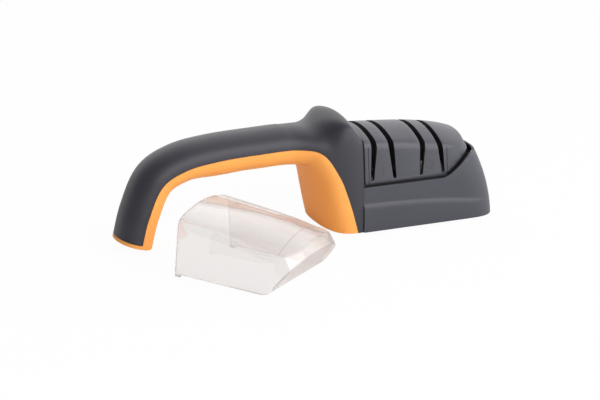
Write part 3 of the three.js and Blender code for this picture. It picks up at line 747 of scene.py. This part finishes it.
def on_cover_edge(centre):
    """Whether a face of the cover, set down beside the head, is on its foot or its open end's near part."""
    level = groove_turn(COVER_FOOT, 0)[1]
    x, y, z = cover_place().inverted() @ (Vector(centre) * MM) / MM
    on_end = x < COVER_END_GAP + SLIVER and y < END_EDGE_REACH
    return on_end or z < level + SLIVER


# Finishes


class Wire:
    """A shader socket that takes part in sums and products."""

    def __init__(self, finish, socket):
        self.finish = finish
        self.socket = socket

    def math(self, operation, first, second):
        return self.finish.node("ShaderNodeMath", {"operation": operation}, {0: first, 1: second})

    def __add__(self, other):
        return self.math("ADD", self, other)

    def __radd__(self, other):
        return self.math("ADD", other, self)

    def __sub__(self, other):
        return self.math("SUBTRACT", self, other)

    def __rsub__(self, other):
        return self.math("SUBTRACT", other, self)

    def __mul__(self, other):
        return self.math("MULTIPLY", self, other)

    def __rmul__(self, other):
        return self.math("MULTIPLY", other, self)


class Finish:
    """A node material, built from its surface shader back to its patterns."""

    def __init__(self, name):
        self.material = bpy.data.materials.new(name)
        self.material.use_nodes = True
        self.tree = self.material.node_tree
        self.surface = self.tree.nodes["Principled BSDF"]

    def node(self, kind, settings=None, inputs=None, output=0):
        node = self.tree.nodes.new(kind)
        for key, value in (settings or {}).items():
            setattr(node, key, value)
        self.feed(node, inputs or {})
        return Wire(self, node.outputs[output])

    def feed(self, node, inputs):
        for key, value in inputs.items():
            if isinstance(value, Wire):
                self.tree.links.new(value.socket, node.inputs[key])
            else:
                node.inputs[key].default_value = value

    def shade(self, **inputs):
        self.feed(self.surface, {key.replace("_", " "): value for key, value in inputs.items()})

    def place(self):
        return self.node("ShaderNodeTexCoord", output="Object")

    def noise(self, scale, detail=2.0, roughness=0.5):
        return self.node("ShaderNodeTexNoise", None,
                         {"Vector": self.place(), "Scale": scale, "Detail": detail, "Roughness": roughness})

    def blend(self, share, first, second):
        return self.node("ShaderNodeMix", {"data_type": "RGBA"}, {0: share, 6: first, 7: second}, output=2)

    def bump(self, height, strength, distance):
        return self.node("ShaderNodeBump", None,
                         {"Strength": strength, "Distance": distance, "Height": height})

    def wear(self, piece):
        piece.data.materials.clear()
        piece.data.materials.append(self.material)


def rgb(red, green, blue):
    return red, green, blue, 1.0


def moulded(name, dark, light, roughness, grain_scale, grain_depth, gloss=0.5):
    """Moulded plastic: faint tone change, fine surface grain and slightly uneven gloss."""
    finish = Finish(name)
    drift = finish.noise(35.0, 3.0)
    grain = finish.noise(grain_scale, 2.0, 0.6)
    finish.shade(Base_Color=finish.blend(drift, dark, light), Roughness=roughness + 0.06 * drift,
                 Normal=finish.bump(grain, 0.35, grain_depth * MM), Specular_IOR_Level=gloss)
    return finish


soft_grey = moulded("soft_touch_grey", rgb(0.03, 0.03, 0.04), rgb(0.035, 0.035, 0.046),
                    0.44, 2600.0, 0.02)
housing_grey = moulded("housing_grey", rgb(0.051, 0.051, 0.066), rgb(0.056, 0.056, 0.072),
                       0.42, 2200.0, 0.02)
module_grey = moulded("textured_grey", rgb(0.045, 0.045, 0.06), rgb(0.053, 0.053, 0.07),
                      0.42, 1700.0, 0.05, 0.65)
mark_grey = moulded("mark_grey", rgb(0.046, 0.046, 0.055), rgb(0.052, 0.052, 0.061),
                    0.5, 1700.0, 0.03)
satin_orange = moulded("satin_orange", rgb(0.96, 0.4, 0.095), rgb(0.98, 0.42, 0.105),
                       0.45, 2600.0, 0.015, 0.15)
# Painted shade: a near-black finish for the slot walls and the gaps at the insert's back and foot, standing
# in for the shade in them.
slot_painted_shade = moulded("slot_painted_shade", rgb(0.006, 0.006, 0.007), rgb(0.009, 0.009, 0.01),
                     0.6, 1500.0, 0.03)
# Painted shade: a darker finish inside the housing's rim, standing in for the shade in the deep groove.
groove_painted_shade = moulded("groove_painted_shade", rgb(0.016, 0.016, 0.019), rgb(0.021, 0.021, 0.024),
                       0.6, 1500.0, 0.03)
base_black = moulded("base_black", rgb(0.012, 0.012, 0.013), rgb(0.018, 0.018, 0.02),
                     0.6, 1500.0, 0.05)
pad_rubber = moulded("pad_rubber", rgb(0.015, 0.015, 0.016), rgb(0.022, 0.022, 0.023),
                     0.8, 900.0, 0.08)
white_ceramic = moulded("white_ceramic", rgb(0.82, 0.81, 0.78), rgb(0.88, 0.87, 0.84),
                        0.5, 2400.0, 0.03)


def turned_steel():
    finish = Finish("turned_steel")
    grain = finish.noise(900.0, 3.0)
    finish.shade(Base_Color=rgb(0.6, 0.61, 0.63), Metallic=1.0, Roughness=0.22 + 0.16 * grain,
                 Normal=finish.bump(grain, 0.2, 0.01 * MM))
    return finish


def diamond_coat():
    finish = Finish("diamond_coat")
    grit = finish.noise(3200.0, 1.0, 0.7)
    finish.shade(Base_Color=finish.blend(grit, rgb(0.05, 0.05, 0.053), rgb(0.26, 0.265, 0.275)), Metallic=0.7,
                 Roughness=0.7 - 0.3 * grit, Normal=finish.bump(grit, 0.8, 0.08 * MM))
    return finish


CLEAR_IOR = 1.46
FACE_GLOSS = 0.05               # share of gloss seen straight on
EDGE_GLOSS = 0.3                # and how much more at a grazing view
EDGE_HAZE = 0.5
GLASS_SHARE = 0.3               # how much of the light is bent by the wall


def clear_plastic(name, haze_colour, haze):
    """Clear wall: a faint haze that thickens at grazing views, a gloss, and some bending of light."""
    finish = Finish(name)
    edge = finish.node("ShaderNodeLayerWeight", None, {"Blend": 0.5}, output="Facing")
    steep = edge * edge
    steep = steep * steep * edge
    finish.shade(Base_Color=haze_colour, Roughness=0.3, Alpha=haze + EDGE_HAZE * steep, IOR=CLEAR_IOR)
    gloss = finish.node("ShaderNodeBsdfGlossy", None, {"Color": rgb(1, 1, 1), "Roughness": 0.04})
    thin = finish.node("ShaderNodeMixShader", None, {
        0: FACE_GLOSS + EDGE_GLOSS * steep, 1: Wire(finish, finish.surface.outputs[0]), 2: gloss})
    thick = finish.node("ShaderNodeBsdfGlass", None, {
        "Color": rgb(0.98, 0.96, 0.95), "Roughness": 0.0, "IOR": CLEAR_IOR})
    both = finish.node("ShaderNodeMixShader", None, {0: GLASS_SHARE, 1: thin, 2: thick})
    finish.feed(finish.tree.nodes["Material Output"], {"Surface": both})
    return finish


steel = turned_steel()
diamond = diamond_coat()
# Painted reflection: the cover's pinkish haze colour stands in for the orange core reflected in it; the haze
# itself belongs to the wall.
clear = clear_plastic("clear_plastic", rgb(0.46, 0.32, 0.27), 0.14)
clear_edge = clear_plastic("clear_edge", rgb(0.4, 0.38, 0.38), 0.45)


# The pieces, dressed in their finishes


def dress(piece, body, finish, slot, *nodes):
    finish.wear(piece)
    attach(piece, body)
    if nodes:
        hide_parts(*nodes)


shell = make_shell()
smooth(shell)
dress(shell, "sharpener", soft_grey, "soft_grey", "handle_shell")

core = make_core()
smooth(core)
dress(core, "sharpener", satin_orange, "orange", "handle_core")

end_cap = make_end_cap()
smooth(end_cap)
dress(end_cap, "sharpener", satin_orange, "orange")

housing = make_housing()
round_edges(housing, HOUSING_EDGE)
smooth(housing)
dress(housing, "sharpener", housing_grey, "housing_grey", "head_housing")
# painted shade on the faces inside the rim
darken(housing, groove_painted_shade, in_groove)

module = make_module()
round_edges(module, MODULE_EDGE)
smooth(module)
dress(module, "sharpener", module_grey, "slot_grey", "slot_module")
# painted shade in the slots and in the gaps at the insert's back and foot
darken(module, slot_painted_shade, in_module_shade)

for sign, centre in zip("12", STAGE_CENTRES):
    mark = make_mark(sign, centre)
    dress(mark, "sharpener", mark_grey, "slot_grey")

cover = make_cover()
smooth(cover)
dress(cover, "cover", clear, "clear_plastic", "clear_cover")
darken(cover, clear_edge, on_cover_edge)

for name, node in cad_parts.items():
    if name.startswith("base_screw") or "axle" in name or "sleeve" in name:
        steel.wear(node)
    elif "coarse_wheel" in name:
        diamond.wear(node)
    elif "fine_wheel" in name:
        white_ceramic.wear(node)
    elif name == "base_pad":
        pad_rubber.wear(node)
    elif name in ("base_plate", "wheel_cradle"):
        base_black.wear(node)

# Floor, light and camera, in metres

FLOOR_SIZE = 8.0
FLOOR_DROP = 0.0002             # keeps the floor clear of the pad's underside
FLOOR_GLOW = 0.96               # how nearly the floor is seen as pure white


def make_floor():
    bpy.ops.object.select_all(action="DESELECT")
    bpy.ops.mesh.primitive_plane_add(size=FLOOR_SIZE, location=(0, 0, -FLOOR_DROP))
    floor = bpy.context.object
    floor.name = "floor"
    finish = Finish("white_floor")
    finish.shade(Base_Color=rgb(0.8, 0.8, 0.8), Roughness=0.9, Specular_IOR_Level=0.0)
    path = finish.tree.nodes.new("ShaderNodeLightPath")
    seen = Wire(finish, path.outputs["Is Camera Ray"])
    through = Wire(finish, path.outputs["Is Transmission Ray"])
    white = finish.node("ShaderNodeEmission", None, {"Color": rgb(1, 1, 1), "Strength": 1.0})
    lit = Wire(finish, finish.surface.outputs[0])
    mix = finish.node("ShaderNodeMixShader", None, {0: FLOOR_GLOW * (seen + through), 1: lit, 2: white})
    finish.feed(finish.tree.nodes["Material Output"], {"Surface": mix})
    finish.wear(floor)


STUDIO_SIDE = Vector((0.75, 0.6, -0.25))    # where the studio is bright
STUDIO_LEVELS = {"From Min": -0.5, "From Max": 0.6, "To Min": 0.15, "To Max": 1.7}


def make_world():
    """White to the eye and in clear walls; as light, even all round but dim on the handle's side."""
    world = bpy.data.worlds.new("studio")
    bpy.context.scene.world = world
    world.use_nodes = True
    tree = world.node_tree

    def join(*ends):
        for source, target in ends:
            tree.links.new(source, target)

    place = tree.nodes.new("ShaderNodeTexCoord")
    toward = tree.nodes.new("ShaderNodeVectorMath")
    toward.operation = "DOT_PRODUCT"
    toward.inputs[1].default_value = STUDIO_SIDE
    level = tree.nodes.new("ShaderNodeMapRange")
    level.interpolation_type = "SMOOTHSTEP"
    for name, value in STUDIO_LEVELS.items():
        level.inputs[name].default_value = value
    soft = tree.nodes["Background"]
    soft.inputs["Color"].default_value = rgb(1, 1, 1)
    white = tree.nodes.new("ShaderNodeBackground")
    white.inputs["Color"].default_value = rgb(1, 1, 1)
    path = tree.nodes.new("ShaderNodeLightPath")
    either = tree.nodes.new("ShaderNodeMath")
    either.operation = "MAXIMUM"
    mix = tree.nodes.new("ShaderNodeMixShader")
    join((place.outputs["Generated"], toward.inputs[0]),
         (toward.outputs["Value"], level.inputs["Value"]),
         (level.outputs["Result"], soft.inputs["Strength"]),
         (path.outputs["Is Camera Ray"], either.inputs[0]),
         (path.outputs["Is Transmission Ray"], either.inputs[1]),
         (either.outputs[0], mix.inputs[0]),
         (soft.outputs[0], mix.inputs[1]),
         (white.outputs[0], mix.inputs[2]),
         (mix.outputs[0], tree.nodes["World Output"].inputs["Surface"]))


def aim(thing, target):
    thing.rotation_euler = (Vector(target) - thing.location).to_track_quat("-Z", "Y").to_euler()


def softbox(name, place, target, width, height, power):
    light = bpy.data.lights.new(name, "AREA")
    light.shape = "RECTANGLE"
    light.size = width
    light.size_y = height
    light.energy = power
    lamp = bpy.data.objects.new(name, light)
    lamp.location = place
    aim(lamp, target)
    bpy.context.scene.collection.objects.link(lamp)


PHOTO_FIELD = 20.18             # degrees across the picture
CAMERA_AT = (-0.3726, -0.7780, 0.2892)
CAMERA_AIM = (-0.0430, 0.0115, 0.0098)
SENSOR_WIDTH = 36.0             # millimetres


def make_camera():
    data = bpy.data.cameras.new("camera")
    data.sensor_fit = "HORIZONTAL"
    data.sensor_width = SENSOR_WIDTH
    data.lens = data.sensor_width / (2 * math.tan(math.radians(PHOTO_FIELD / 2)))
    camera = bpy.data.objects.new("camera", data)
    camera.location = CAMERA_AT
    aim(camera, CAMERA_AIM)
    bpy.context.scene.collection.objects.link(camera)
    bpy.context.scene.camera = camera


make_floor()
make_world()
softbox("front_box", place=(0.3, -1.1, 0.7), target=(0, 0, 0.03), width=2.0, height=1.1, power=20.0)
make_camera()
bpy.context.scene.view_settings.view_transform = "Standard"
